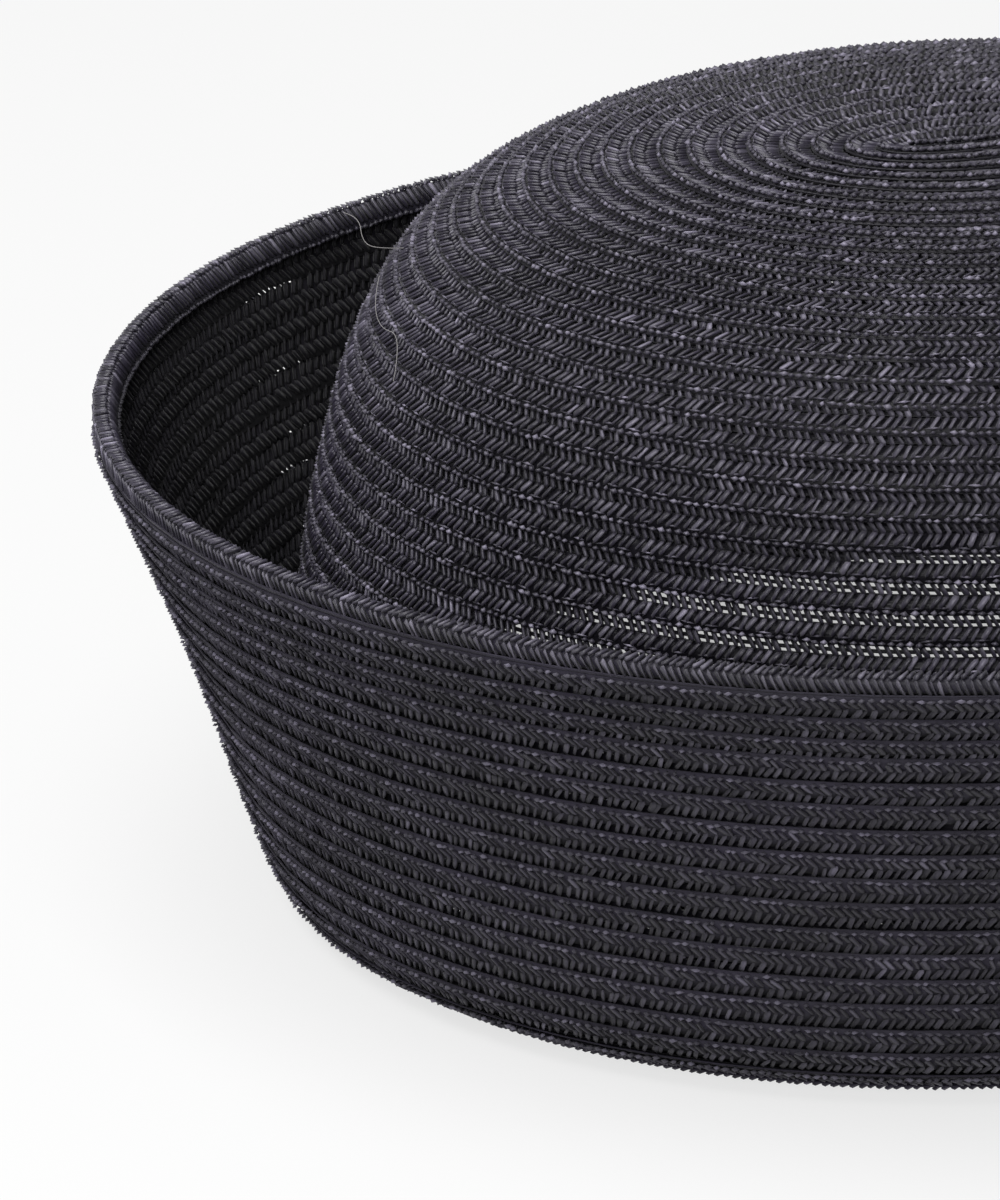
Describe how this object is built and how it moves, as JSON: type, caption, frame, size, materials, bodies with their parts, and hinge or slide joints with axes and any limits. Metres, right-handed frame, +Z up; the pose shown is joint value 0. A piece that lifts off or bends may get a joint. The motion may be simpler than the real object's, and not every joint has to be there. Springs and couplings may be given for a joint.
{
  "type": "sailor cap",
  "caption": "Straw sailor cap: a domed oval crown inside an all-round brim that is turned up, finished by a folded edge row.",
  "frame": {"origin": "centre of the head opening, on the surface that the base of the cap rests on", "axes": "+X along the length of the head, +Y across it, +Z up through the crown"},
  "size_m": [0.2418, 0.2344, 0.1048],
  "materials": {
    "crown_straw": "black paper-straw braid, satin sheen",
    "brim_straw": "black paper-straw braid, satin sheen",
    "edge_straw": "black paper-straw braid, satin sheen"
  },
  "bodies": {
    "root": {"crown": "crown_straw", "brim": "brim_straw", "edge_row": "edge_straw"}
  },
  "joints": []
}
